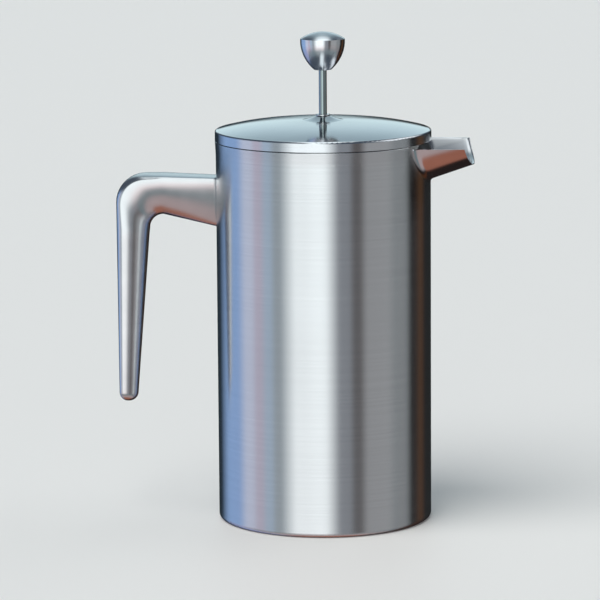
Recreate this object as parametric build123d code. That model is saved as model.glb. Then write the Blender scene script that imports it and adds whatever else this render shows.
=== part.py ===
from build123d import *
import math
import os

# A double-wall steel french press. Millimetres, +Z up, origin at the centre of the base
# on the body's axis, the spout towards +X and the handle towards -X.

# Driving dimensions.
BODY_R = 54.0               # outside of the outer shell
BORE_R = 48.5               # inside of the coffee vessel
RIM_Z = 192.5               # top of the body
SHEET = 0.8                 # sheet steel of both walls and of the lid's inner parts
SEAT_GAP = 0.3              # dark seam between the rim and the lid
ROD_R = 2.0
LID_R = 54.35
LID_EDGE_Z = 198.0          # top of the lid's upright band
KNOB_CROWN_Z = 243.4        # widest edge of the knob
FILTER_Z = 20.5             # underside of the filter's cross plate, nearly pressed down

# Outer shell.
FOOT_R = 50.2               # inner edge of the rolled foot
FOOT_ROUND = 2.4
FLARE = 0.4                 # outward flare of the shell below the rim
FLARE_H = 6.5
FLARE_ROUND = 40.0
RIM_ROUND = 0.35

# Coffee vessel.
FLOOR_Z = 7.5               # inside of the floor
FLOOR_T = 1.0
FLOOR_ROUND = 6.0
MOUTH_ROUND = 1.5

# Spout: a rounded V of sheet, level at the top, with a rising keel.
SPOUT_SHEET = 1.0
SPOUT_SIDE_SHEET = 1.3      # the sheet measured across its leaning sides
SPOUT_FROM_X = 38.0         # the full V runs between these before it is trimmed
SPOUT_TO_X = 82.0
SPOUT_TOP_Z = 191.0
SPOUT_ROOT_HALF = 25.85     # half width where it leaves the body
SPOUT_TAPER = 0.067         # half width lost per millimetre outwards
KEEL_ROOT_Z = 173.2         # underside of the keel at the body
KEEL_RISE = 0.351           # keel height gained per millimetre outwards
LIP_X = 76.0                # tip of the keel
LIP_CORNER_X = 72.4         # top corners of the mouth
KEEL_FULLNESS = 0.42        # 1/3 is a parabola, more is a rounder keel
NOTCH_FLARE = 4.0           # how far the rim's notch opens above the spout's edges
NOTCH_FROM_X = 35.0
NOTCH_LENGTH = 35.0

# Handle: one cast piece, joined to the body at the top of the arm only.
HANDLE_OUT_X = -104.9
ELBOW_R = 14.2
ARM_TOP_Z = 175.1
ARM_TOP_ROOT_Z = 174.0
ARM_UNDER_ROOT_Z = 148.0
ARM_FROM_X = -50.0          # the arm starts here and is trimmed to the body
CROOK_X = -81.2             # centre of the inner bend
CROOK_Z = 147.4
CROOK_R = 7.0
LEG_TOP_W = 16.6            # leg width seen from the side
LEG_END_W = 9.6
TIP_Z = 58.0
GRIP_DEPTH = 20.0           # front to back at the elbow
ROOT_DEPTH = 18.0
LEG_END_DEPTH = 10.5
GRIP_CORNER = 0.42          # corner radius as a share of the section's smaller side

# Lid.
LID_SHEET = 0.9
LID_EDGE_ROUND = 1.1
DOME_RISE = 4.7
BOSS_R = 10.3
BOSS_TOP_Z = 205.0
BOSS_WAIST = 3.0            # inwards from the boss's edge, where its slope turns up
BOSS_WAIST_RISE = 0.5
BUSH_R = 3.0
BUSH_BORE_R = 2.05
BUSH_HANG = 4.5             # thread below the lid's plate
BUSH_COLLAR = 0.6           # width and height of the bush's collar on the lid
SKIRT_R = 46.0
SKIRT_FLANGE = 2.5          # inward flange, spot-welded under the lid's plate
SKIRT_BOTTOM_Z = 172.0
BEAD_Z = 188.7              # top of the bead that holds the gasket up
BEAD_OUT = 1.2
BEAD_H = 0.5
WINDOW_LOW_Z = 176.0
WINDOW_HIGH_Z = 186.0
WINDOW_HALF = 18.0
WINDOW_CORNER = 3.0
STRAINER_T = 0.5
STRAINER_LAP = 3.0          # how far the strip reaches past the window's ends
STRAINER_EDGE = 2.0         # and past its top and bottom
STRAINER_HOLE_R = 0.9
STRAINER_ROWS = 3
STRAINER_ROW_PITCH = 3.0
STRAINER_TURN = 2.9         # degrees between holes
STRAINER_REACH = 7          # holes on each side of the middle one
GASKET_H = 3.0
GASKET_GAP = 0.3            # clear of the skirt, the wall and the bead
NUT_FLATS = 10.0
BUSH_NUT_H = 3.2

# Knob.
KNOB_R = 11.2
KNOB_NECK_R = 4.3
KNOB_BOTTOM_Z = 227.9
KNOB_TOP_Z = 246.95
KNOB_EDGE = 1.0             # straight edge below the crown
KNOB_SIDE = 6.0             # how far the cup's upper side keeps close to upright
KNOB_NECK_OUT = 3.0         # the neck's slope leaves towards this much inside the crown
KNOB_NECK_UP = 3.3          # and this much above the underside
ROD_IN_KNOB = 10.0

# Filter, from the bottom up.
HUB_NUT_H = 4.5
HUB_NUT_END = 1.5           # closed end below the rod
CROSS_R = 45.0
CROSS_T = 1.0
CROSS_TURN_DOWN = 2.0       # depth of the edge turned down
CROSS_HOLE_R = 2.6
CROSS_HOLE_RINGS = [(14, 8), (25, 14), (36, 20)]    # (radius, holes)
MESH_R = 47.9
MESH_T = 0.4
SCREEN_T = 0.5
SPIRAL_R = 43.0
SPIRAL_T = 1.0
SPIRAL_RIM = 3.4            # height of the rim that seats the coil
SPIRAL_SLOT = (17, 4)       # length and width
SPIRAL_SLOT_TURN = 35       # degrees off the radius
COIL_R = 45.6               # centreline of the edge coil
COIL_WIRE_R = 2.4           # half the coil's outside diameter
COIL_LIFT = 0.2             # coil above the screen
WASHER_R = 8.0
WASHER_T = 1.0
COLLAR_R = 4.5
COLLAR_H = 4.6

MESH_Z = FILTER_Z + CROSS_T
SCREEN_Z = MESH_Z + MESH_T
SPIRAL_Z = SCREEN_Z + SCREEN_T
WASHER_Z = SPIRAL_Z + SPIRAL_T
COLLAR_Z = WASHER_Z + WASHER_T
HUB_NUT_Z = FILTER_Z - HUB_NUT_H

CUT = 2.0                   # how far a cutting shape reaches past what it cuts


def turned(points, radii=None):
    """A solid of revolution about Z from a closed outline of (radius, height) points."""
    outline = FilletPolyline(*points, radius=radii or [0] * len(points), close=True)
    return revolve(Plane.XZ * make_face(outline), axis=Axis.Z)


def turned_edges(*edges):
    """A solid of revolution about Z from the edges of a closed outline."""
    return revolve(Plane.XZ * make_face(edges), axis=Axis.Z)


def tube(outer, inner, low, high):
    """A plain ring between two radii and two heights."""
    return turned([(inner, low), (outer, low), (outer, high), (inner, high)])


def across(x):
    """The plane at x that faces +X, with its own x along +Y and its own y up."""
    return Plane(origin=(x, 0, 0), x_dir=(0, 1, 0), z_dir=(1, 0, 0))


def post(radius, low, high):
    """A solid cylinder about Z between two heights."""
    return Pos(0, 0, low) * extrude(Circle(radius), high - low)


def ring_of(shape, radius, count, turn=0.0):
    """Copies of a shape spaced evenly round Z."""
    return [Rot(0, 0, turn + i * 360 / count) * Pos(radius, 0, 0) * shape for i in range(count)]


# ---------------------------------------------------------------- body

def shell_inner_r(z):
    """Inside radius of the outer shell at height z in its flared top."""
    return BODY_R - SHEET + FLARE * (z - (RIM_Z - FLARE_H)) / FLARE_H


def spout_half(x):
    return SPOUT_ROOT_HALF - SPOUT_TAPER * (x - BODY_R)


def keel_z(x):
    return KEEL_ROOT_Z + KEEL_RISE * (x - BODY_R)


def spout_section(x, skin, top):
    """Closed section of the spout across X, shrunk by skin and closed at height top."""
    half = spout_half(x) - skin * SPOUT_SIDE_SHEET / SPOUT_SHEET
    low = keel_z(x) + skin
    pull = SPOUT_TOP_Z - (SPOUT_TOP_Z - low) * 4 / 3
    keel = Bezier(
        (-half, SPOUT_TOP_Z),
        (-half * KEEL_FULLNESS, pull),
        (half * KEEL_FULLNESS, pull),
        (half, SPOUT_TOP_Z),
    )
    if top > SPOUT_TOP_Z:
        cover = Polyline((half, SPOUT_TOP_Z), (half, top), (-half, top), (-half, SPOUT_TOP_Z))
    else:
        cover = Line((half, SPOUT_TOP_Z), (-half, SPOUT_TOP_Z))
    return across(x) * make_face([keel, *cover.edges()])


def spout_solid(skin, top):
    """The spout's V from inside the vessel to past the mouth."""
    return loft([spout_section(x, skin, top) for x in (SPOUT_FROM_X, SPOUT_TO_X)], ruled=True)


def mouth_plan():
    """Everything behind the mouth's bowed front, as a tall block."""
    half = SPOUT_ROOT_HALF + NOTCH_FLARE
    corner = spout_half(LIP_CORNER_X)
    bow_x = LIP_X - (LIP_X - LIP_CORNER_X) * (half / corner) ** 2
    front = Bezier((bow_x, -half), (2 * LIP_X - bow_x, 0), (bow_x, half))
    back = Polyline((bow_x, half), (SPOUT_FROM_X, half), (SPOUT_FROM_X, -half), (bow_x, -half))
    return extrude(make_face([front, *back.edges()]), RIM_Z)


def rim_notch():
    """The opening of the rim above the spout's level edges, flared at both sides."""
    half = spout_half(BORE_R)
    high = RIM_Z + CUT
    wide = half + NOTCH_FLARE * (high - SPOUT_TOP_Z) / (RIM_Z - SPOUT_TOP_Z)
    profile = Polyline((-half, SPOUT_TOP_Z), (half, SPOUT_TOP_Z), (wide, high), (-wide, high), close=True)
    return extrude(across(NOTCH_FROM_X) * make_face(profile), NOTCH_LENGTH)


def outer_shell():
    z_bend = RIM_Z - FLARE_H
    inner = BODY_R - SHEET
    shell = turned(
        [
            (FOOT_R, 0), (BODY_R, 0), (BODY_R, z_bend), (BODY_R + FLARE, RIM_Z),
            (inner + FLARE, RIM_Z), (inner, z_bend), (inner, SHEET), (FOOT_R, SHEET),
        ],
        [0, FOOT_ROUND, FLARE_ROUND, RIM_ROUND, 0, FLARE_ROUND, FOOT_ROUND - SHEET, 0],
    )
    return shell - spout_solid(0, SPOUT_TOP_Z) - rim_notch()


def inner_vessel():
    outer = BORE_R + SHEET
    under = RIM_Z - SHEET
    vessel = turned(
        [
            (0, FLOOR_Z - FLOOR_T), (outer, FLOOR_Z - FLOOR_T), (outer, under),
            (shell_inner_r(under), under), (shell_inner_r(RIM_Z), RIM_Z), (BORE_R, RIM_Z),
            (BORE_R, FLOOR_Z), (0, FLOOR_Z),
        ],
        [0, FLOOR_ROUND + SHEET, MOUTH_ROUND - SHEET, 0, 0, MOUTH_ROUND, FLOOR_ROUND, 0],
    )
    return vessel - spout_solid(0, SPOUT_TOP_Z) - rim_notch()


def base_plate():
    """Flat disc that closes the outer shell and carries the press."""
    return turned([(0, 0), (FOOT_R, 0), (FOOT_R, SHEET), (0, SHEET)])


def spout():
    """Bent sheet that lines the notch through both walls and runs out to the lip."""
    beak = spout_solid(0, SPOUT_TOP_Z) - spout_solid(SPOUT_SHEET, SPOUT_TOP_Z + CUT)
    return beak & mouth_plan() - post(BORE_R, 0, RIM_Z)


# ---------------------------------------------------------------- handle

def outer_distance(angle):
    """From the centre of the inner bend out to the handle's outside, in a direction in degrees."""
    dx = math.cos(math.radians(angle))
    dz = math.sin(math.radians(angle))
    arc_x = HANDLE_OUT_X + ELBOW_R
    arc_z = ARM_TOP_Z - ELBOW_R
    off_x = arc_x - CROOK_X
    off_z = arc_z - CROOK_Z
    along = off_x * dx + off_z * dz
    across_sq = off_x ** 2 + off_z ** 2 - along ** 2
    on_arc = along + math.sqrt(max(ELBOW_R ** 2 - across_sq, 0))
    to_top = (ARM_TOP_Z - CROOK_Z) / dz if dz > 0.01 else math.inf
    to_side = (HANDLE_OUT_X - CROOK_X) / dx if dx < -0.01 else math.inf
    flat = min(to_top, to_side)
    past_x = CROOK_X + flat * dx < arc_x
    past_z = CROOK_Z + flat * dz > arc_z
    return on_arc if past_x and past_z else flat


def handle_section(centre, outward, thick, depth):
    """A rounded oblong across the handle: thick along outward, depth along Y."""
    plane = Plane(origin=centre, x_dir=outward, z_dir=Vector(*outward).cross(Vector(0, 1, 0)))
    corner = GRIP_CORNER * min(thick, depth)
    return plane * RectangleRounded(thick, depth, corner)


def arm_sections():
    """From inside the shell out to the bend."""
    crook_top = CROOK_Z + CROOK_R
    steps = 4
    for step in range(steps):
        share = step / steps
        x = ARM_FROM_X + share * (CROOK_X - ARM_FROM_X)
        top = ARM_TOP_ROOT_Z + share * (ARM_TOP_Z - ARM_TOP_ROOT_Z)
        under = ARM_UNDER_ROOT_Z + share * (crook_top - ARM_UNDER_ROOT_Z)
        depth = ROOT_DEPTH + share * (GRIP_DEPTH - ROOT_DEPTH)
        yield handle_section((x, 0, (top + under) / 2), (0, 0, 1), top - under, depth)


def bend_sections():
    """A fan of sections about the centre of the inner bend."""
    for angle in range(90, 181, 10):
        far = outer_distance(angle)
        mid = (far + CROOK_R) / 2
        dx = math.cos(math.radians(angle))
        dz = math.sin(math.radians(angle))
        centre = (CROOK_X + mid * dx, 0, CROOK_Z + mid * dz)
        yield handle_section(centre, (dx, 0, dz), far - CROOK_R, GRIP_DEPTH)


def leg_sections(low):
    """Down the leg, narrowing evenly."""
    steps = 8
    for step in range(1, steps + 1):
        share = step / steps
        z = CROOK_Z + share * (low - CROOK_Z)
        width = LEG_TOP_W + share * (LEG_END_W - LEG_TOP_W)
        depth = GRIP_DEPTH + share * (LEG_END_DEPTH - GRIP_DEPTH)
        yield handle_section((HANDLE_OUT_X + width / 2, 0, z), (-1, 0, 0), width, depth)


def tip_sections(low):
    """The rounded end of the leg."""
    tip_x = HANDLE_OUT_X + LEG_END_W / 2
    for lean in range(0, 81, 16):
        slim = math.cos(math.radians(lean))
        z = low - LEG_END_W / 2 * math.sin(math.radians(lean))
        yield handle_section((tip_x, 0, z), (-1, 0, 0), LEG_END_W * slim, LEG_END_DEPTH * slim)


def handle():
    leg_low = TIP_Z + LEG_END_W / 2
    grip = loft([*arm_sections(), *bend_sections(), *leg_sections(leg_low)], ruled=True)
    tip = loft([*tip_sections(leg_low)], ruled=True)
    return grip + tip - post(BODY_R, 0, RIM_Z)


# ---------------------------------------------------------------- lid

def dome_z(r):
    edge = LID_R - LID_EDGE_ROUND
    return LID_EDGE_Z + DOME_RISE * (1 - (r / edge) ** 3)


def dome_curve(drop, start, end):
    """The lid's domed profile between two radii, lowered by drop: a cubic, so exact."""
    edge = LID_R - LID_EDGE_ROUND
    third = (end - start) / 3

    def slope(r):
        return -3 * DOME_RISE * r ** 2 / edge ** 3

    return Bezier(
        (start, dome_z(start) - drop),
        (start + third, dome_z(start) - drop + third * slope(start)),
        (end - third, dome_z(end) - drop - third * slope(end)),
        (end, dome_z(end) - drop),
    )


def lid_cap():
    """Pressed cover: upright band, domed top and a small tent round the rod."""
    low = RIM_Z + SEAT_GAP
    edge = LID_R - LID_EDGE_ROUND
    inside = LID_R - LID_SHEET
    bend_low = LID_EDGE_Z - LID_EDGE_ROUND
    half_bend = LID_EDGE_ROUND * math.sqrt(0.5)
    outer_bend = ThreePointArc(
        (LID_R, bend_low),
        (edge + half_bend, bend_low + half_bend),
        (edge, LID_EDGE_Z),
    )
    boss_base = dome_z(BOSS_R)
    waist_r = BOSS_R - BOSS_WAIST
    waist_z = boss_base + BOSS_WAIST_RISE
    outer_boss = Bezier((BOSS_R, boss_base), (waist_r, waist_z), (BUSH_R, BOSS_TOP_Z))
    inner_boss = Bezier(
        (BUSH_R, BOSS_TOP_Z - LID_SHEET),
        (waist_r, waist_z - LID_SHEET),
        (BOSS_R, boss_base - LID_SHEET),
    )
    return turned_edges(
        Line((inside, low), (LID_R, low)),
        Line((LID_R, low), (LID_R, bend_low)),
        outer_bend,
        dome_curve(0, edge, BOSS_R),
        outer_boss,
        Line((BUSH_R, BOSS_TOP_Z), (BUSH_R, BOSS_TOP_Z - LID_SHEET)),
        inner_boss,
        dome_curve(LID_SHEET, BOSS_R, inside),
        Line((inside, dome_z(inside) - LID_SHEET), (inside, low)),
    )


def lid_plate():
    """Flat disc that closes the hollow lid from below."""
    low = RIM_Z + SEAT_GAP
    return tube(LID_R - LID_SHEET, BUSH_R, low, low + SHEET)


def lid_skirt():
    """Upright ring that centres the lid in the mouth, with a window for pouring."""
    top = RIM_Z + SEAT_GAP
    inner = SKIRT_R - SHEET
    flange = inner - SKIRT_FLANGE
    bead = SKIRT_R + BEAD_OUT
    ring = turned(
        [
            (flange, top - SHEET), (inner, top - SHEET), (inner, SKIRT_BOTTOM_Z),
            (SKIRT_R, SKIRT_BOTTOM_Z), (SKIRT_R, BEAD_Z - 2 * BEAD_H), (bead, BEAD_Z - BEAD_H),
            (bead, BEAD_Z), (SKIRT_R, BEAD_Z), (SKIRT_R, top), (flange, top),
        ]
    )
    window = RectangleRounded(2 * WINDOW_HALF, WINDOW_HIGH_Z - WINDOW_LOW_Z, WINDOW_CORNER)
    middle = Pos(0, (WINDOW_LOW_Z + WINDOW_HIGH_Z) / 2)
    return ring - extrude(across(0) * middle * window, SKIRT_R + CUT)


def pour_strainer():
    """Perforated strip behind the skirt's window."""
    outer = SKIRT_R - SHEET
    band = tube(outer, outer - STRAINER_T, WINDOW_LOW_Z - STRAINER_EDGE, WINDOW_HIGH_Z + STRAINER_EDGE)
    span = Rectangle(2 * (WINDOW_HALF + STRAINER_LAP), 2 * RIM_Z)
    strip = band & extrude(across(0) * span, outer)
    hole = extrude(Plane.YZ * Circle(STRAINER_HOLE_R), outer + CUT)
    for row in range(STRAINER_ROWS):
        z = WINDOW_LOW_Z + STRAINER_EDGE + row * STRAINER_ROW_PITCH
        stagger = row % 2 / 2
        for step in range(-STRAINER_REACH, STRAINER_REACH + 1):
            strip -= Rot(0, 0, (step + stagger) * STRAINER_TURN) * Pos(0, 0, z) * hole
    return strip


def lid_gasket():
    """Soft ring in the mouth, between the vessel's wall and the skirt."""
    inner = SKIRT_R + GASKET_GAP
    outer = BORE_R - GASKET_GAP
    low = BEAD_Z + GASKET_GAP
    high = low + GASKET_H
    return turned([(inner, low), (outer, low), (outer, high), (inner, high)], [0.3, 0.7, 0.7, 0.3])


def rod_bush():
    """Threaded sleeve that guides the rod, with a thin collar on top of the lid."""
    low = RIM_Z + SEAT_GAP - BUSH_HANG
    collar = BUSH_R + BUSH_COLLAR
    high = BOSS_TOP_Z + BUSH_COLLAR
    return turned(
        [
            (BUSH_BORE_R, low), (BUSH_R, low), (BUSH_R, BOSS_TOP_Z),
            (collar, BOSS_TOP_Z), (collar, high), (BUSH_BORE_R, high),
        ],
        [0, 0, 0, 0, 0.3, 0.2],
    )


def hex_nut(bore_r, low, high):
    """A hexagonal nut about Z, its lower corners turned off."""
    hexagon = Pos(0, 0, low) * extrude(RegularPolygon(NUT_FLATS / 2, 6, major_radius=False), high - low)
    corner_r = NUT_FLATS / math.sqrt(3)
    chamfered = turned([(0, low), (NUT_FLATS / 2, low), (corner_r, low + 0.5), (corner_r, high), (0, high)])
    return hexagon & chamfered - post(bore_r, low, high)


def bush_nut():
    high = RIM_Z + SEAT_GAP
    return hex_nut(BUSH_R, high - BUSH_NUT_H, high)


# ---------------------------------------------------------------- plunger

def plunger_rod():
    low = HUB_NUT_Z + HUB_NUT_END
    high = KNOB_BOTTOM_Z + ROD_IN_KNOB
    return turned([(0, low), (ROD_R, low), (ROD_R, high), (0, high)], [0, 0.4, 0.4, 0])


def knob():
    """Turned cup with a shallow dome on top, drilled for the rod."""
    hole_top = KNOB_BOTTOM_Z + ROD_IN_KNOB
    edge_z = KNOB_CROWN_Z - KNOB_EDGE
    cup = Bezier(
        (KNOB_R, edge_z),
        (KNOB_R, edge_z - KNOB_SIDE),
        (KNOB_R - KNOB_NECK_OUT, KNOB_BOTTOM_Z + KNOB_NECK_UP),
        (KNOB_NECK_R, KNOB_BOTTOM_Z),
    )
    rise = KNOB_TOP_Z - KNOB_CROWN_Z
    sphere_r = (KNOB_R ** 2 + rise ** 2) / (2 * rise)
    half_chord = KNOB_R / 2
    mid_z = KNOB_TOP_Z - sphere_r + math.sqrt(sphere_r ** 2 - half_chord ** 2)
    return turned_edges(
        Line((ROD_R, KNOB_BOTTOM_Z), (ROD_R, hole_top)),
        Line((ROD_R, hole_top), (0, hole_top)),
        Line((0, hole_top), (0, KNOB_TOP_Z)),
        ThreePointArc((0, KNOB_TOP_Z), (half_chord, mid_z), (KNOB_R, KNOB_CROWN_Z)),
        Line((KNOB_R, KNOB_CROWN_Z), (KNOB_R, edge_z)),
        cup,
        Line((KNOB_NECK_R, KNOB_BOTTOM_Z), (ROD_R, KNOB_BOTTOM_Z)),
    )


def rod_collar():
    """Stop collar pressed on the rod above the filter."""
    high = COLLAR_Z + COLLAR_H
    return turned(
        [(ROD_R, COLLAR_Z), (COLLAR_R, COLLAR_Z), (COLLAR_R, high), (ROD_R, high)],
        [0, 0.3, 1.2, 0],
    )


def plate_washer():
    return tube(WASHER_R, ROD_R, WASHER_Z, COLLAR_Z)


def spiral_plate():
    """Pressed disc with swept slots and a rim that seats the coil."""
    inner = SPIRAL_R - SHEET
    rim_z = SPIRAL_Z + SPIRAL_RIM
    disc = turned(
        [
            (ROD_R, SPIRAL_Z), (SPIRAL_R, SPIRAL_Z), (SPIRAL_R, rim_z),
            (inner, rim_z), (inner, WASHER_Z), (ROD_R, WASHER_Z),
        ]
    )
    slot = Pos(0, 0, SPIRAL_Z) * extrude(Rot(0, 0, SPIRAL_SLOT_TURN) * SlotOverall(*SPIRAL_SLOT), SPIRAL_T)
    return disc - ring_of(slot, 20, 8) - ring_of(slot, 34, 12, 15)


def edge_spring():
    """Closed form of the fine wire coil round the filter's edge."""
    return Pos(0, 0, SPIRAL_Z + COIL_LIFT + COIL_WIRE_R) * Torus(COIL_R, COIL_WIRE_R)


def coarse_screen():
    return tube(CROSS_R, ROD_R, SCREEN_Z, SPIRAL_Z)


def fine_mesh():
    return tube(MESH_R, ROD_R, MESH_Z, SCREEN_Z)


def cross_plate():
    """Perforated disc that backs the mesh, with its edge turned down."""
    inner = CROSS_R - SHEET
    edge_z = FILTER_Z - CROSS_TURN_DOWN
    disc = turned(
        [
            (ROD_R, FILTER_Z), (inner, FILTER_Z), (inner, edge_z),
            (CROSS_R, edge_z), (CROSS_R, MESH_Z), (ROD_R, MESH_Z),
        ],
        [0, 0, 0, 0, 1.0, 0],
    )
    hole = post(CROSS_HOLE_R, FILTER_Z, MESH_Z)
    for radius, count in CROSS_HOLE_RINGS:
        disc -= ring_of(hole, radius, count)
    return disc


def hub_nut():
    """Closed hexagonal nut that holds the filter on the rod."""
    return hex_nut(ROD_R, HUB_NUT_Z, FILTER_Z) + post(ROD_R, HUB_NUT_Z, HUB_NUT_Z + HUB_NUT_END)


NODES = [
    outer_shell, inner_vessel, base_plate, spout, handle,
    lid_gasket,
    lid_cap, lid_plate, lid_skirt, pour_strainer, rod_bush, bush_nut,
    plunger_rod, knob, rod_collar, plate_washer, spiral_plate, edge_spring,
    coarse_screen, fine_mesh, cross_plate, hub_nut,
]

os.makedirs("parts", exist_ok=True)
for make in NODES:
    export_step(make(), f"parts/{make.__name__}.step")
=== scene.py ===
import math

import bpy
from mathutils import Matrix, Vector


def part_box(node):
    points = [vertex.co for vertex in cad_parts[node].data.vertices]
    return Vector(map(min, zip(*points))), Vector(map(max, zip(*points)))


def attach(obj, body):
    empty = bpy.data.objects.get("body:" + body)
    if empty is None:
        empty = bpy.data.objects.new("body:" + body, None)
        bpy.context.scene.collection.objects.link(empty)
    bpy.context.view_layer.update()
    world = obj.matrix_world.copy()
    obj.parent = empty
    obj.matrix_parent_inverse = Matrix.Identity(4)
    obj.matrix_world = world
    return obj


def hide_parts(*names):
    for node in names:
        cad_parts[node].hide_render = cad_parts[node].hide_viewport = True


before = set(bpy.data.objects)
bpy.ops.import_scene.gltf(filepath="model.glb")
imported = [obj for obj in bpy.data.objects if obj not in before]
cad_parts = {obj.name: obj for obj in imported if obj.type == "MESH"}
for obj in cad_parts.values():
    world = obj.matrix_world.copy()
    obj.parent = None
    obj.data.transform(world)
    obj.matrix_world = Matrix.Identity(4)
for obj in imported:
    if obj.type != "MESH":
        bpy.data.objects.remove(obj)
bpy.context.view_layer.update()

MM = 0.001

# ---------------------------------------------------------------- sizes taken from the model's parts
FOOT_ROLL = 3.8 * MM        # the shell's rolled foot, round the base plate
VESSEL_SHEET = 0.8 * MM
BODY_R = -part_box("base_plate")[0].y + FOOT_ROLL
RIM_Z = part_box("outer_shell")[1].z
BORE_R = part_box("inner_vessel")[1].x - VESSEL_SHEET
SPOUT_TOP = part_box("spout")[1].z
LIP_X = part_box("spout")[1].x
GRIP_OUT_X, GRIP_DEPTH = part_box("handle")[0].x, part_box("handle")[1].y
GRIP_TIP_Z, GRIP_TOP_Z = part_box("handle")[0].z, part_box("handle")[1].z
LID_LOW_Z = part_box("lid_cap")[0].z
COIL_Z = (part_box("edge_spring")[0].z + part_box("edge_spring")[1].z) / 2
COIL_OUT_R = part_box("edge_spring")[1].y


# ---------------------------------------------------------------- mesh helpers
def piece(name, points, faces, body, node):
    """A smooth mesh object that rides on a body and stands for a CAD node."""
    mesh = bpy.data.meshes.new(name)
    mesh.from_pydata([tuple(p) for p in points], [], faces)
    mesh.validate()
    mesh.shade_smooth()
    made = bpy.data.objects.new(name, mesh)
    bpy.context.scene.collection.objects.link(made)
    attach(made, body)
    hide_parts(node)
    return made


SHARP_ANGLE = 35            # degrees between two faces, past which their edge is rounded
BEVEL_SEGMENTS = 3


def round_edges(made, width):
    """Small rounded edges wherever two faces meet sharply."""
    bevel = made.modifiers.new("edges", "BEVEL")
    bevel.width = width
    bevel.segments = BEVEL_SEGMENTS
    bevel.limit_method = "ANGLE"
    bevel.angle_limit = math.radians(SHARP_ANGLE)
    bevel.harden_normals = True


def tube_faces(rings, around, closed_rings=False):
    """Quads that join rings of points; closed_rings also joins the last ring to the first."""
    faces = []
    for i in range(rings if closed_rings else rings - 1):
        a = i * around
        b = ((i + 1) % rings) * around
        for j in range(around):
            k = (j + 1) % around
            faces.append((a + j, a + k, b + k, b + j))
    return faces


def bezier2(a, b, c, t):
    """A curve from a to c that is pulled towards b."""
    return a * (1 - t) ** 2 + b * 2 * t * (1 - t) + c * t ** 2


def mix(a, b, share):
    return a + (b - a) * share


# ---------------------------------------------------------------- spout
ROOT_HALF = 25.85 * MM      # half the spout's width where it leaves the body
TAPER = 0.067               # how much each side closes in along the spout
KEEL_ROOT = 173.2 * MM
KEEL_RISE = 0.351
CORNER_X = 72.4 * MM        # the two ends of the mouth's curved edge
FULLNESS = 0.58             # how full the sides of its section are
SPOUT_SHEET = 1.0 * MM
LIP = 2.2 * MM              # the inside rounds over this far back from the mouth
LIP_STEPS = (0.985, 0.94, 0.85, 0.72, 0.55, 0.35, 0.15)
FLARE_BELOW = 1.8 * MM      # size of the smooth flare round the root, at the keel
FLARE_GROWTH = 2.0 * MM     # how much larger it is at the rim
FLARE_TUCK = 0.15           # share by which its edge on the wall is nearer at the rim
FLARE_PROUD = 0.03 * MM     # the flare's edge stands this far off the wall
RIM_CLEAR = 0.25 * MM       # and stays this far below the rim
ABOVE_SPOUT = 5 * MM        # the flare spreads away from a point this far above the spout
BORE_CLEAR = 0.1 * MM       # the sheet's hidden end stops this far outside the bore
SPOUT_EDGE = 0.3 * MM
ACROSS = 72
ALONG = 14
FLARE_STEPS = 10
CORNER_HALF = ROOT_HALF - TAPER * (CORNER_X - BODY_R)
T_STEP = 1e-3               # a small step across the spout, for directions
REACH_FROM, REACH_TO = 30 * MM, 80 * MM
HALVINGS = 40


def spout_outside(t, x):
    """A point of the spout's outside: t runs across it from edge to edge, with the keel at 0.5."""
    half = ROOT_HALF - TAPER * (x - BODY_R)
    low = KEEL_ROOT + KEEL_RISE * (x - BODY_R)
    s = 1 - t
    y = half * (-s ** 3 - 3 * FULLNESS * s * s * t + 3 * FULLNESS * s * t * t + t ** 3)
    return Vector((x, y, SPOUT_TOP - 4 * t * s * (SPOUT_TOP - low)))


def spout_normal(t, x):
    """Outward normal of the spout's underside."""
    low, high = max(t - T_STEP, 0), min(t + T_STEP, 1)
    sideways = spout_outside(high, x) - spout_outside(low, x)
    lengthways = spout_outside(t, x + MM) - spout_outside(t, x)
    return lengthways.cross(sideways).normalized() * -1


def spout_inside(t, x, share=1.0):
    """The inside of the sheet, or a share of the way through it."""
    p = spout_outside(t, x) - spout_normal(t, x) * SPOUT_SHEET * share
    p.z = min(p.z, SPOUT_TOP)
    return p


def reach(t, radius):
    """Where the spout's line at t leaves a cylinder about the body's axis."""
    low, high = REACH_FROM, REACH_TO
    for _ in range(HALVINGS):
        x = (low + high) / 2
        p = spout_outside(t, x)
        if math.hypot(p.x, p.y) < radius:
            low = x
        else:
            high = x
    return low


def mouth_x(y):
    """How far out the mouth's curved edge is."""
    return LIP_X - (LIP_X - CORNER_X) * (y / CORNER_HALF) ** 2


def flare_edge(t, size):
    """The point of the body's wall where the flare round the spout dies away."""
    low, high = max(t - T_STEP, 0), min(t + T_STEP, 1)
    here = spout_outside(t, reach(t, BODY_R))
    tangent = spout_outside(high, reach(high, BODY_R)) - spout_outside(low, reach(low, BODY_R))
    wall = Vector((here.x, here.y, 0)).normalized()
    away = wall.cross(tangent).normalized()
    if away.dot(here - Vector((BODY_R, 0, SPOUT_TOP + ABOVE_SPOUT))) < 0:
        away.negate()
    edge = here + away * size
    flat = Vector((edge.x, edge.y, 0)).normalized() * (BODY_R + FLARE_PROUD)
    return Vector((flat.x, flat.y, min(edge.z, RIM_Z - RIM_CLEAR)))


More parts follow.
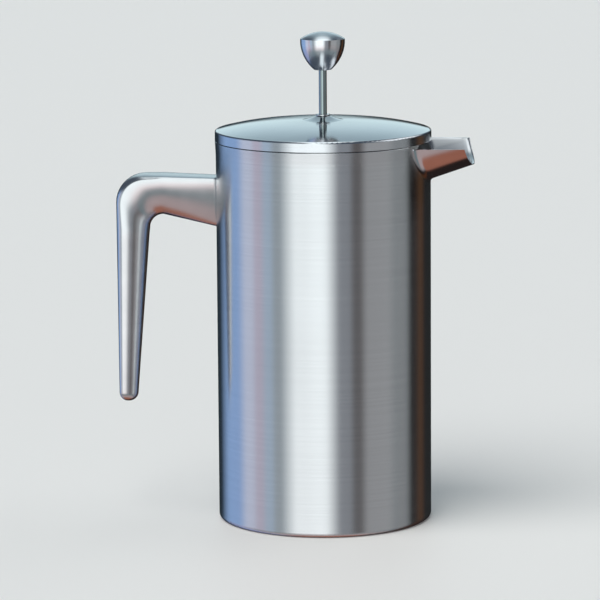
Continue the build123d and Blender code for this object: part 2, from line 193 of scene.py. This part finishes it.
def spout_loop(t):
    """One closed line of points round the sheet: flare, outside, lip, inside, hidden end."""
    rise = 1 - 4 * t * (1 - t)
    size = FLARE_BELOW + FLARE_GROWTH * rise
    root = reach(t, BODY_R)
    start = spout_outside(t, root + size)
    corner = spout_outside(t, root)
    edge = flare_edge(t, size * (1 - FLARE_TUCK * rise))
    end = mouth_x(spout_outside(t, CORNER_X).y)
    flare = [bezier2(edge, corner, start, k / FLARE_STEPS) for k in range(FLARE_STEPS)]
    outside = [spout_outside(t, mix(root + size, end, k / ALONG)) for k in range(ALONG + 1)]
    lip = [spout_inside(t, end - LIP * (1 - s), math.sqrt(1 - s * s)) for s in LIP_STEPS]
    inner_root = reach(t, BORE_R + BORE_CLEAR)
    count = FLARE_STEPS + ALONG - len(lip)
    inside = [spout_inside(t, mix(end - LIP, inner_root, k / count)) for k in range(count + 1)]
    return flare + outside + lip + inside + [spout_outside(t, inner_root)]


def make_spout():
    points = [p for i in range(ACROSS + 1) for p in spout_loop(i / ACROSS)]
    last = FLARE_STEPS + ALONG
    around = 2 * (last + 1) + 1
    faces = tube_faces(ACROSS + 1, around)
    for base, turned in ((0, False), (ACROSS * around, True)):
        cap = []
        for k in range(last):
            cap.append((base + k, base + k + 1, base + around - 3 - k, base + around - 2 - k))
        cap.append((base, base + around - 2, base + around - 1))
        faces += [f[::-1] for f in cap] if turned else cap
    made = piece("spout_beak", points, faces, "vessel", "spout")
    round_edges(made, SPOUT_EDGE)


# ---------------------------------------------------------------- handle
ELBOW_R = 14.2 * MM         # the outside of the bend
CROOK = Vector((-81.2 * MM, 0, 147.4 * MM))     # centre of the bend's inside
CROOK_R = 7.0 * MM
ARM_TOP_ROOT = 174.0 * MM
ARM_UNDER_ROOT = 148.0 * MM
LEG_TOP_W = 16.6 * MM
LEG_END_W = 9.6 * MM
ROOT_HALF_DEPTH = 8.0 * MM
END_HALF_DEPTH = 5.2 * MM
ROOT_CREST, ARM_CREST, LEG_CREST = 0.04, 0.08, 0.28     # how far in from the outside each is deepest
ROOT_CURVE, ARM_CURVE, LEG_CURVE = 1.35, 1.75, 1.85      # 2 tapers inwards as an ellipse, 1 straight
OUTER_CURVE = 2.6
ROOT_INSET = 1.0 * MM       # the arm starts this far inside the body's wall
ARM_STEPS, BEND_STEPS, LEG_STEPS, TIP_STEPS = 16, 24, 26, 9
RING = 56


def outer_reach(angle):
    """From the crook's centre to the grip's outside, in a direction of the XZ plane."""
    dx, dz = math.cos(angle), math.sin(angle)
    arc_x, arc_z = GRIP_OUT_X + ELBOW_R, GRIP_TOP_Z - ELBOW_R
    off_x, off_z = arc_x - CROOK.x, arc_z - CROOK.z
    along = off_x * dx + off_z * dz
    across = off_x ** 2 + off_z ** 2 - along ** 2
    to_top = (GRIP_TOP_Z - CROOK.z) / dz if dz > 0.01 else 1
    to_side = (GRIP_OUT_X - CROOK.x) / dx if dx < -0.01 else 1
    flat = min(to_top, to_side)
    if CROOK.x + flat * dx < arc_x and CROOK.z + flat * dz > arc_z:
        return along + math.sqrt(max(ELBOW_R ** 2 - across, 0))
    return flat


def egg_ring(inner, outer, half, share, curve):
    """A ring round the grip: blunt on its outer side, tapering to its inner side."""
    thick = (outer - inner).length
    out = (outer - inner).normalized()
    crest = outer - out * thick * share
    ring = []
    for k in range(RING):
        a = 2 * math.pi * k / RING
        up, side = math.sin(a), math.cos(a)
        power, span = (OUTER_CURVE, thick * share) if up > 0 else (curve, thick * (1 - share))
        scale = (abs(up) ** power + abs(side) ** power) ** (-1 / power)
        ring.append(crest + out * (up * scale * span) + Vector((0, side * scale * half, 0)))
    return ring


def arm_rings():
    root_x = -(BODY_R - ROOT_INSET)
    for k in range(ARM_STEPS):
        share = k / ARM_STEPS
        x = mix(root_x, CROOK.x, share)
        top = Vector((x, 0, mix(ARM_TOP_ROOT, GRIP_TOP_Z, share)))
        under = Vector((x, 0, mix(ARM_UNDER_ROOT, CROOK.z + CROOK_R, share)))
        half = mix(ROOT_HALF_DEPTH, GRIP_DEPTH, share)
        crest = mix(ROOT_CREST, ARM_CREST, share)
        yield egg_ring(under, top, half, crest, mix(ROOT_CURVE, ARM_CURVE, share))


def bend_rings():
    for k in range(BEND_STEPS + 1):
        share = k / BEND_STEPS
        angle = math.pi / 2 * (1 + share)
        out = Vector((math.cos(angle), 0, math.sin(angle)))
        crest = mix(ARM_CREST, LEG_CREST, share)
        curve = mix(ARM_CURVE, LEG_CURVE, share)
        far = CROOK + out * outer_reach(angle)
        yield egg_ring(CROOK + out * CROOK_R, far, GRIP_DEPTH, crest, curve)


def leg_rings(leg_low):
    for k in range(1, LEG_STEPS + 1):
        share = k / LEG_STEPS
        z = mix(CROOK.z, leg_low, share)
        inner = Vector((GRIP_OUT_X + mix(LEG_TOP_W, LEG_END_W, share), 0, z))
        outer = Vector((GRIP_OUT_X, 0, z))
        yield egg_ring(inner, outer, mix(GRIP_DEPTH, END_HALF_DEPTH, share), LEG_CREST, LEG_CURVE)


def tip_rings(leg_low, tip_x):
    for k in range(1, TIP_STEPS):
        lean = math.pi / 2 * k / TIP_STEPS
        slim = math.cos(lean)
        z = leg_low - LEG_END_W / 2 * math.sin(lean)
        inner = Vector((tip_x + LEG_END_W / 2 * slim, 0, z))
        outer = Vector((tip_x - LEG_END_W / 2 * slim, 0, z))
        yield egg_ring(inner, outer, END_HALF_DEPTH * slim, LEG_CREST, LEG_CURVE)


def make_handle():
    leg_low = GRIP_TIP_Z + LEG_END_W / 2
    tip_x = GRIP_OUT_X + LEG_END_W / 2
    rings = [*arm_rings(), *bend_rings(), *leg_rings(leg_low), *tip_rings(leg_low, tip_x)]
    points = [p for ring in rings for p in ring]
    faces = tube_faces(len(rings), RING)
    tip = len(points)
    points.append(Vector((tip_x, 0, GRIP_TIP_Z)))
    last = (len(rings) - 1) * RING
    faces += [(last + j, last + (j + 1) % RING, tip) for j in range(RING)]
    faces.append(tuple(range(RING - 1, -1, -1)))
    piece("grip", points, faces, "vessel", "handle")


# ---------------------------------------------------------------- filter
WIRE_R = 0.3 * MM
COIL_R = 2.4 * MM           # outside of each turn
TURNS = 176
TURN_STEPS = 12
WIRE_SIDES = 6


def make_edge_coil():
    """The fine wire coil that wipes the vessel's wall."""
    big = COIL_OUT_R - COIL_R
    small = COIL_R - WIRE_R
    steps = TURNS * TURN_STEPS
    points = []
    for i in range(steps):
        a = 2 * math.pi * i / steps
        b = a * TURNS
        out = Vector((math.cos(a), math.sin(a), 0))
        off = out * math.cos(b) + Vector((0, 0, math.sin(b)))
        centre = out * big + Vector((0, 0, COIL_Z)) + off * small
        round_way = Vector((-math.sin(a), math.cos(a), 0))
        along = (out * -math.sin(b) + Vector((0, 0, math.cos(b)))) * small * TURNS + round_way * big
        side = along.normalized().cross(off)
        for k in range(WIRE_SIDES):
            c = 2 * math.pi * k / WIRE_SIDES
            points.append(centre + (off * math.cos(c) + side * math.sin(c)) * WIRE_R)
    faces = tube_faces(steps, WIRE_SIDES, True)
    piece("edge_coil", points, faces, "plunger", "edge_spring")


# ---------------------------------------------------------------- node trees
class Tree:
    """A node tree, with short ways to add and join nodes."""

    def __init__(self, tree):
        self.tree = tree

    def add(self, kind, **settings):
        node = self.tree.nodes.new(kind)
        for key, value in settings.items():
            setattr(node, key, value)
        return node

    def join(self, output, socket):
        self.tree.links.new(output, socket)

    def feed(self, value, socket):
        """Joins an output to a socket, or sets the socket to a number."""
        if isinstance(value, (int, float)):
            socket.default_value = value
        else:
            self.join(value, socket)

    def math(self, kind, a, b=0.0):
        node = self.add("ShaderNodeMath", operation=kind)
        self.feed(a, node.inputs[0])
        self.feed(b, node.inputs[1])
        return node.outputs["Value"]


class Nodes(Tree):
    """A material's node tree round its Principled shader."""

    def __init__(self, name):
        self.material = bpy.data.materials.new(name)
        self.material.use_nodes = True
        super().__init__(self.material.node_tree)
        self.shader = self.tree.nodes["Principled BSDF"]
        self.where = self.add("ShaderNodeTexCoord").outputs["Object"]

    def set(self, **values):
        for key, value in values.items():
            self.shader.inputs[key.replace("_", " ")].default_value = value

    def stretched(self, scale, grain, detail=3.0):
        """Noise over object coordinates multiplied by scale, in grains per metre."""
        mapping = self.add("ShaderNodeMapping")
        mapping.inputs["Scale"].default_value = scale
        self.join(self.where, mapping.inputs["Vector"])
        noise = self.add("ShaderNodeTexNoise")
        noise.inputs["Scale"].default_value = grain
        noise.inputs["Detail"].default_value = detail
        self.join(mapping.outputs["Vector"], noise.inputs["Vector"])
        return noise.outputs["Fac"]

    def ranged(self, value, low, high, from_low=0.3, from_high=0.7):
        node = self.add("ShaderNodeMapRange")
        self.join(value, node.inputs["Value"])
        node.inputs["From Min"].default_value = from_low
        node.inputs["From Max"].default_value = from_high
        node.inputs["To Min"].default_value = low
        node.inputs["To Max"].default_value = high
        return node.outputs["Result"]

    def roughness(self, value):
        self.join(value, self.shader.inputs["Roughness"])

    def tint(self, value, dark, light):
        ramp = self.add("ShaderNodeValToRGB")
        ramp.color_ramp.elements[0].color = (*dark, 1)
        ramp.color_ramp.elements[1].color = (*light, 1)
        self.join(value, ramp.inputs["Fac"])
        self.join(ramp.outputs["Color"], self.shader.inputs["Base Color"])

    def bump(self, height, distance):
        node = self.add("ShaderNodeBump")
        node.inputs["Strength"].default_value = 1.0
        node.inputs["Distance"].default_value = distance
        self.join(height, node.inputs["Height"])
        self.join(node.outputs["Normal"], self.shader.inputs["Normal"])

    def turned_grain(self, amount):
        """Highlights stretched across fine lines that run round the Z axis."""
        self.set(Anisotropic=amount, Anisotropic_Rotation=0.25)
        tangent = self.add("ShaderNodeTangent", direction_type="RADIAL", axis="Z")
        self.join(tangent.outputs["Tangent"], self.shader.inputs["Tangent"])


# ---------------------------------------------------------------- materials
EVEN = (1, 1, 1)
ROUND = (0.006, 0.006, 1.0)     # squeezes noise into lines round the Z axis
FINE_LINES = 2400
DEEP_LINES = 1000
SATIN_GRAIN = 2600
WEAVE = 900
LID_BAND = 4.6 * MM             # height of the lid's brushed upright band
BAND_EDGE = 0.5 * MM            # over which it turns into the polished dome


def brushed_round(name, dark, light, rough, amount):
    """Steel brushed round the axis: fine lines, some deeper ones and faint cloudiness."""
    m = Nodes(name)
    m.set(Metallic=1.0)
    m.turned_grain(amount)
    fine = m.stretched(ROUND, FINE_LINES)
    deep = m.stretched(ROUND, DEEP_LINES)
    cloud = m.stretched(EVEN, 22, 2.0)
    lines = m.math("ADD", m.math("MULTIPLY", fine, 0.6), m.math("MULTIPLY", deep, 0.4))
    m.tint(m.ranged(lines, 0, 1), dark, light)
    m.roughness(m.math("ADD", m.ranged(lines, rough * 0.95, rough * 1.04), m.ranged(cloud, -0.01, 0.01)))
    return m.material


def satin(name, dark, light, rough, depth):
    """Cast or formed steel with an even satin finish."""
    m = Nodes(name)
    m.set(Metallic=1.0)
    fine = m.stretched(EVEN, SATIN_GRAIN)
    cloud = m.stretched(EVEN, 60, 2.0)
    m.tint(m.ranged(cloud, 0, 1), dark, light)
    m.roughness(m.math("ADD", m.ranged(fine, rough * 0.93, rough * 1.07), m.ranged(cloud, -0.012, 0.012)))
    m.bump(fine, depth)
    return m.material


def lid_material():
    """Polished dome above a brushed upright band."""
    m = Nodes("lid_polish")
    m.set(Metallic=1.0)
    m.turned_grain(0.95)
    height = m.add("ShaderNodeSeparateXYZ")
    m.join(m.where, height.inputs["Vector"])
    band_top = LID_LOW_Z + LID_BAND
    band = m.ranged(height.outputs["Z"], 1, 0, band_top, band_top + BAND_EDGE)
    lines = m.stretched(ROUND, FINE_LINES)
    smear = m.stretched(EVEN, 30, 2.0)
    dome = m.ranged(smear, 0.10, 0.12)
    m.roughness(m.math("ADD", dome, m.math("MULTIPLY", band, m.ranged(lines, 0.06, 0.10))))
    m.tint(m.ranged(smear, 0, 1), (0.68, 0.70, 0.72), (0.74, 0.76, 0.78))
    return m.material


def polished(name, base, rough):
    """Small turned parts and wire, bright with faint smears."""
    m = Nodes(name)
    m.set(Metallic=1.0)
    smear = m.stretched(EVEN, 120)
    m.tint(m.ranged(smear, 0, 1), tuple(c * 0.93 for c in base), base)
    m.roughness(m.ranged(smear, rough * 0.8, rough * 1.3))
    return m.material


def silicone():
    m = Nodes("seal_silicone")
    m.set(IOR=1.41, Subsurface_Weight=0.1, Subsurface_Radius=(2.0 * MM, 2.0 * MM, 1.8 * MM))
    cloud = m.stretched(EVEN, 300)
    m.tint(cloud, (0.66, 0.66, 0.64), (0.76, 0.76, 0.74))
    m.roughness(m.ranged(cloud, 0.42, 0.55))
    m.bump(cloud, 0.02 * MM)
    return m.material


def woven():
    """Fine wire cloth: two crossed sets of wires, with painted shade near-black between them."""
    m = Nodes("fine_mesh_weave")
    m.set(Metallic=1.0)
    waves = []
    for axis in ("X", "Y"):
        wave = m.add("ShaderNodeTexWave", bands_direction=axis)
        wave.inputs["Scale"].default_value = WEAVE
        m.join(m.where, wave.inputs["Vector"])
        waves.append(wave.outputs["Fac"])
    cloth = m.math("MAXIMUM", *waves)
    # The near-black tone between the wires is painted shade where the cloth's openings are.
    m.tint(cloth, (0.05, 0.05, 0.05), (0.66, 0.66, 0.67))
    m.roughness(m.ranged(cloth, 0.5, 0.28, 0, 1))
    m.bump(cloth, 0.1 * MM)
    return m.material


def dress(name, material):
    """Gives a CAD node or a piece its material."""
    made = bpy.data.objects[name]
    made.data.materials.clear()
    made.data.materials.append(material)


make_spout()
make_handle()
make_edge_coil()

shell_steel = brushed_round("shell_brushed", (0.69, 0.71, 0.72), (0.76, 0.78, 0.79), 0.25, 0.95)
knob_steel = brushed_round("knob_turned", (0.74, 0.76, 0.78), (0.84, 0.86, 0.88), 0.18, 0.92)
inner_steel = brushed_round("inner_brushed", (0.56, 0.57, 0.58), (0.64, 0.65, 0.66), 0.36, 0.6)
grip_steel = satin("grip_satin", (0.64, 0.65, 0.66), (0.72, 0.73, 0.74), 0.24, 0.002 * MM)
spout_steel = satin("spout_satin", (0.62, 0.62, 0.63), (0.70, 0.70, 0.71), 0.16, 0.003 * MM)
pressed_steel = satin("pressed_satin", (0.54, 0.55, 0.56), (0.62, 0.63, 0.64), 0.32, 0.005 * MM)
fitting_steel = polished("fitting_polish", (0.72, 0.73, 0.74), 0.10)
# The rod's base colour is far darker and more teal than the other polished steel: painted shade standing
# in for its dark reflections.
rod_steel_painted_shade = polished("rod_polish_painted_shade", (0.34, 0.40, 0.40), 0.08)
wire_steel = polished("wire_bright", (0.70, 0.71, 0.72), 0.2)

FINISH = {
    "outer_shell": shell_steel,
    "inner_vessel": inner_steel,
    "base_plate": inner_steel,
    "spout_beak": spout_steel,
    "grip": grip_steel,
    "lid_gasket": silicone(),
    "lid_cap": lid_material(),
    "lid_plate": inner_steel,
    "lid_skirt": inner_steel,
    "pour_strainer": pressed_steel,
    "rod_bush": fitting_steel,
    "bush_nut": fitting_steel,
    "plunger_rod": rod_steel_painted_shade,
    "knob": knob_steel,
    "rod_collar": fitting_steel,
    "plate_washer": fitting_steel,
    "spiral_plate": pressed_steel,
    "edge_coil": wire_steel,
    "coarse_screen": pressed_steel,
    "fine_mesh": woven(),
    "cross_plate": pressed_steel,
    "hub_nut": fitting_steel,
}
for name, material in FINISH.items():
    dress(name, material)


# ---------------------------------------------------------------- floor
FACING = math.radians(5.4)          # the camera stands this far round towards the spout
FLOOR_HALF = 6.0


def make_floor():
    mesh = bpy.data.meshes.new("floor")
    corners = [(x * FLOOR_HALF, y * FLOOR_HALF, 0) for x, y in ((-1, -1), (1, -1), (1, 1), (-1, 1))]
    mesh.from_pydata(corners, [], [(0, 1, 2, 3)])
    floor = bpy.data.objects.new("floor", mesh)
    bpy.context.scene.collection.objects.link(floor)
    material = bpy.data.materials.new("floor_pale")
    material.use_nodes = True
    shader = material.node_tree.nodes["Principled BSDF"]
    shader.inputs["Base Color"].default_value = (0.78, 0.76, 0.73, 1)
    shader.inputs["Roughness"].default_value = 0.55
    mesh.materials.append(material)
    floor.visible_glossy = False


# ---------------------------------------------------------------- light
# Soft panels stand round the object. Each runs between two bearings, in degrees to the right of the
# camera's side, and the light fades from one panel to the next.
PANELS = {
    "dark_room_left": (-180, -150, (0.02, 0.03, 0.04)),
    "blue_card": (-128, -106, (0.30, 0.46, 0.76)),
    "pale_blue_card": (-94, -84, (0.62, 0.68, 0.84)),
    "pink_card": (-78, -72, (0.58, 0.54, 0.66)),
    "blue_grey_card": (-66, -60, (0.46, 0.58, 0.72)),
    "grey_gap": (-54, -48, (0.38, 0.44, 0.48)),
    "white_softbox": (-31, 1, (1.30, 1.40, 1.42)),
    "shaded_card": (16, 27, (0.28, 0.30, 0.33)),
    "black_flag": (33, 39, (0.12, 0.11, 0.11)),
    "grey_wall": (47, 72, (0.37, 0.38, 0.39)),
    "grey_wall_shade": (84, 99, (0.25, 0.27, 0.28)),
    "black_flag_right": (108, 116, (0.01, 0.01, 0.01)),
    "warm_glow": (123, 130, (0.08, 0.04, 0.02)),
    "dark_room_right": (138, 180, (0.02, 0.02, 0.02)),
}

# Heights of a direction run from -1, straight down, through 0, the horizon, to 1, straight up.
# A fade is a pair: where it begins and where it is full.
SKY = [
    (0.00, (0.76, 0.92, 0.97)),
    (0.14, (0.68, 0.86, 0.91)),
    (0.30, (0.56, 0.72, 0.79)),
    (0.55, (0.34, 0.45, 0.51)),
    (0.80, (0.32, 0.40, 0.44)),
    (0.95, (1.25, 1.35, 1.40)),
]
WARM_FADE, WARM_TINT = (-0.23, -0.46), (1.14, 0.82, 0.80)       # the panels grow warmer lower down
IN_FRONT = (0.25, -0.05)
TEAL_FADE, TEAL = (-0.38, -0.50), (0.18, 0.25, 0.27)            # low in front
ROSE_FADE, ROSE = (-0.60, -0.74), (0.50, 0.40, 0.40)            # lower in front
SALMON_FADE, SALMON = (-0.90, -0.97), (0.40, 0.16, 0.11)        # almost straight down
SHADE_SIDES, SHADE_FADE, SHADE = (0.14, 0.34), (0.22, 0.38), (0.07, 0.09, 0.12)
SOFTBOX_SIDE, SOFTBOX_LOW, SOFTBOX_TOP = (0.42, 0.60), (0.34, 0.42), (0.80, 0.65)
SOFTBOX = (1.3, 1.35, 1.4)                                      # high on the right
SKYLINE = (0.36, 0.42)
BEHIND_LOWER, FRONT_HIGHER = 0.31, 1.9      # the skyline is this much lower behind and higher in front
BACKDROP = (0.80, 0.78, 0.75)               # what the camera itself sees


class Studio(Tree):
    """The world's node tree, with fades and blends over the direction of a ray."""

    def __init__(self):
        world = bpy.data.worlds.new("studio")
        bpy.context.scene.world = world
        world.use_nodes = True
        world.node_tree.nodes.clear()
        super().__init__(world.node_tree)
        self.towards = self.add("ShaderNodeTexCoord").outputs["Generated"]
        self.parts = self.add("ShaderNodeSeparateXYZ")
        self.join(self.towards, self.parts.inputs["Vector"])
        self.height = self.parts.outputs["Z"]

    def fade(self, value, begins, full):
        node = self.add("ShaderNodeMapRange", interpolation_type="SMOOTHSTEP")
        self.join(value, node.inputs["Value"])
        node.inputs["From Min"].default_value = begins
        node.inputs["From Max"].default_value = full
        return node.outputs["Result"]

    def along(self, *axis):
        node = self.add("ShaderNodeVectorMath", operation="DOT_PRODUCT")
        self.join(self.towards, node.inputs[0])
        node.inputs[1].default_value = axis
        return node.outputs["Value"]

    def both(self, a, b):
        return self.math("MULTIPLY", a, b)

    def ramp(self, value, lights):
        node = self.add("ShaderNodeValToRGB")
        stops = node.color_ramp.elements
        while len(stops) > 1:
            stops.remove(stops[-1])
        for index, (place, light) in enumerate(lights):
            stop = stops[0] if index == 0 else stops.new(place)
            stop.position = place
            stop.color = (*light, 1)
        self.join(value, node.inputs["Fac"])
        return node.outputs["Color"]

    def blend(self, share, under, over, how="MIX"):
        node = self.add("ShaderNodeMix", data_type="RGBA", blend_type=how)
        self.join(share, node.inputs["Factor"])
        for value, socket in ((under, node.inputs[6]), (over, node.inputs[7])):
            if isinstance(value, tuple):
                socket.default_value = (*value, 1)
            else:
                self.join(value, socket)
        return node.outputs[2]


def light_round(studio):
    """The panels, by the bearing of the ray."""
    back = studio.math("MULTIPLY", studio.parts.outputs["Y"], -1.0)
    bearing = studio.math("ARCTAN2", studio.parts.outputs["X"], back)
    share = studio.math("DIVIDE", studio.math("SUBTRACT", bearing, FACING), 2 * math.pi)
    turn = studio.math("WRAP", share, 0.5)
    turn.node.inputs[2].default_value = -0.5
    stops = [(edge / 360 + 0.5, light) for *edges, light in PANELS.values() for edge in edges]
    return studio.ramp(studio.math("ADD", turn, 0.5), stops)


def light_below(studio, ahead, at_sides):
    """The panels down to the floor, warmer and darker below, shaded at the top of both sides."""
    height = studio.height
    front = studio.fade(ahead, *IN_FRONT)
    light = studio.blend(studio.fade(height, *WARM_FADE), light_round(studio), WARM_TINT, "MULTIPLY")
    light = studio.blend(studio.both(front, studio.fade(height, *TEAL_FADE)), light, TEAL)
    light = studio.blend(studio.both(front, studio.fade(height, *ROSE_FADE)), light, ROSE)
    light = studio.blend(studio.fade(height, *SALMON_FADE), light, SALMON)
    return studio.blend(studio.both(at_sides, studio.fade(height, *SHADE_FADE)), light, SHADE)


def light_above(studio, sideways, at_sides):
    """The light overhead: a strip from front to back, and a softbox on the right."""
    height = studio.height
    light = studio.blend(at_sides, studio.ramp(height, SKY), SHADE)
    tall = studio.both(studio.fade(height, *SOFTBOX_LOW), studio.fade(height, *SOFTBOX_TOP))
    return studio.blend(studio.both(studio.fade(sideways, *SOFTBOX_SIDE), tall), light, SOFTBOX)


def make_world():
    studio = Studio()
    ahead = studio.along(-math.sin(FACING), math.cos(FACING), 0)
    sideways = studio.along(math.cos(FACING), math.sin(FACING), 0)
    at_sides = studio.fade(studio.math("ABSOLUTE", sideways), *SHADE_SIDES)
    behind = studio.both(studio.math("MAXIMUM", ahead, 0.0), BEHIND_LOWER)
    front = studio.both(studio.math("MINIMUM", ahead, 0.0), FRONT_HIGHER)
    level = studio.math("ADD", studio.height, studio.math("ADD", behind, front))
    below = light_below(studio, ahead, at_sides)
    above = light_above(studio, sideways, at_sides)
    around = studio.blend(studio.fade(level, *SKYLINE), below, above)
    seen = studio.add("ShaderNodeLightPath").outputs["Is Camera Ray"]
    background = studio.add("ShaderNodeBackground")
    studio.join(studio.blend(seen, around, BACKDROP), background.inputs["Color"])
    output = studio.add("ShaderNodeOutputWorld")
    studio.join(background.outputs["Background"], output.inputs["Surface"])


def soft_sun(strength, direction, angle):
    """A broad soft light for the floor; the steel shows the studio instead."""
    data = bpy.data.lights.new("soft_sun", "SUN")
    data.energy = strength
    data.angle = math.radians(angle)
    sun = bpy.data.objects.new("soft_sun", data)
    bpy.context.scene.collection.objects.link(sun)
    sun.rotation_euler = Vector(direction).to_track_quat("Z", "Y").to_euler()
    sun.visible_glossy = False


# ---------------------------------------------------------------- camera
SENSOR, FOCAL = 36, 221.9           # both in mm
DISTANCE, LENS_Z = 1.84405, 0.4189
PITCH, HEADING, ROLL = 9.477, 5.778, -0.407     # degrees down, to the left and clockwise


def make_camera():
    """A long lens that looks down on the press a little, from its front."""
    data = bpy.data.cameras.new("camera")
    data.sensor_width = SENSOR
    data.lens = FOCAL
    data.clip_start = 0.05
    data.clip_end = 50
    camera = bpy.data.objects.new("camera", data)
    bpy.context.scene.collection.objects.link(camera)
    place = Matrix.Translation((DISTANCE * math.sin(FACING), -DISTANCE * math.cos(FACING), LENS_Z))
    heading = Matrix.Rotation(math.radians(HEADING), 4, "Z")
    tilt = Matrix.Rotation(math.radians(90 - PITCH), 4, "X")
    roll = Matrix.Rotation(math.radians(ROLL), 4, "Z")
    camera.matrix_world = place @ heading @ tilt @ roll
    bpy.context.scene.camera = camera


make_floor()
make_world()
soft_sun(2.2, (-0.45, -0.55, 1.0), 50)
make_camera()
bpy.context.scene.view_settings.view_transform = "Standard"
